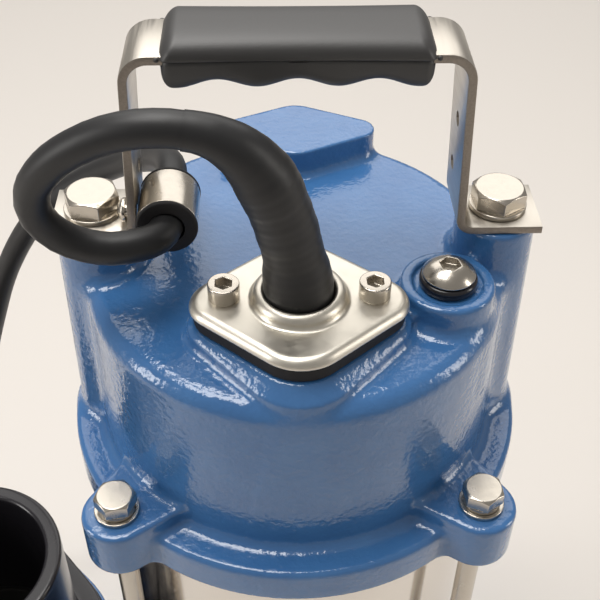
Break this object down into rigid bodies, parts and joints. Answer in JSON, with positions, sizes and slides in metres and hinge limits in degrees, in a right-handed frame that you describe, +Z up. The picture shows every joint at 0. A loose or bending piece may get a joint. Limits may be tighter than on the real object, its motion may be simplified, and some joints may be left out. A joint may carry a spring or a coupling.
{
  "type": "submersible sump pump",
  "caption": "Upright submersible pump with a blue cast top cover, steel motor shell, carrying handle, side outlet and its own coiled power cable with a plug.",
  "frame": {"origin": "on the motor axis, at the underside of the base plate", "axes": "+Z up along the motor axis, +X towards the vent plug, -X towards the outlet, -Y towards the cable gland"},
  "size_m": [0.5619, 0.2317, 0.503],
  "materials": {
    "enamel": "gloss enamel with slight orange peel, over cast iron",
    "steel": "bright stainless",
    "strap": "brushed stainless strip",
    "iron": "machined",
    "copper": "varnished copper wire",
    "ceramic": "lapped ceramic",
    "capacitor": "moulded can",
    "rubber": "matte",
    "cable": "satin",
    "plastic": "satin moulded"
  },
  "bodies": {
    "root": {"base_strainer": "enamel", "suction_plate": "enamel", "pump_casing": "enamel", "oil_housing": "enamel", "top_cover": "enamel", "base_screw_1": "steel", "base_screw_2": "steel", "base_screw_3": "steel", "outlet_bolt_front": "steel", "outlet_bolt_rear": "steel", "oil_plug": "steel", "motor_shell": "steel", "upper_bearing": "steel", "lower_bearing": "steel", "tie_washer_1": "steel", "tie_washer_2": "steel", "tie_washer_3": "steel", "tie_washer_4": "steel", "tie_bolt_1": "steel", "tie_bolt_2": "steel", "tie_bolt_3": "steel", "tie_bolt_4": "steel", "handle_washer_left": "steel", "handle_washer_right": "steel", "handle_bolt_left": "steel", "handle_bolt_right": "steel", "gland_plate": "steel", "gland_screw_left": "steel", "gland_screw_right": "steel", "vent_plug": "steel", "clip_band": "steel", "clip_rivet": "steel", "handle_strap": "strap", "seal_plate": "iron", "stator_core": "iron", "upper_bracket": "iron", "winding_upper": "copper", "winding_lower": "copper", "seal_seat": "ceramic", "run_capacitor": "capacitor", "outlet_gasket": "rubber", "cover_o_ring": "rubber", "gland_gasket": "rubber", "vent_seal": "rubber", "cable_sleeve": "rubber", "clip_cushion": "rubber", "power_cable": "cable", "cable_coil": "cable", "cable_tail": "cable", "plug_strain_relief": "cable", "hose_connector": "plastic", "handle_grip": "plastic", "cable_plug": "plastic", "coil_tie": "plastic"},
    "rotor": {"motor_shaft": "steel", "rotor_core": "iron", "seal_head": "steel", "impeller": "iron", "impeller_key": "steel", "impeller_nut": "steel"}
  },
  "joints": [
    {"name": "rotor_spin", "type": "hinge", "parent": "root", "child": "rotor", "pos_m": [0, 0, 0.2], "axis": [0, 0, 1], "continuous": true}
  ]
}
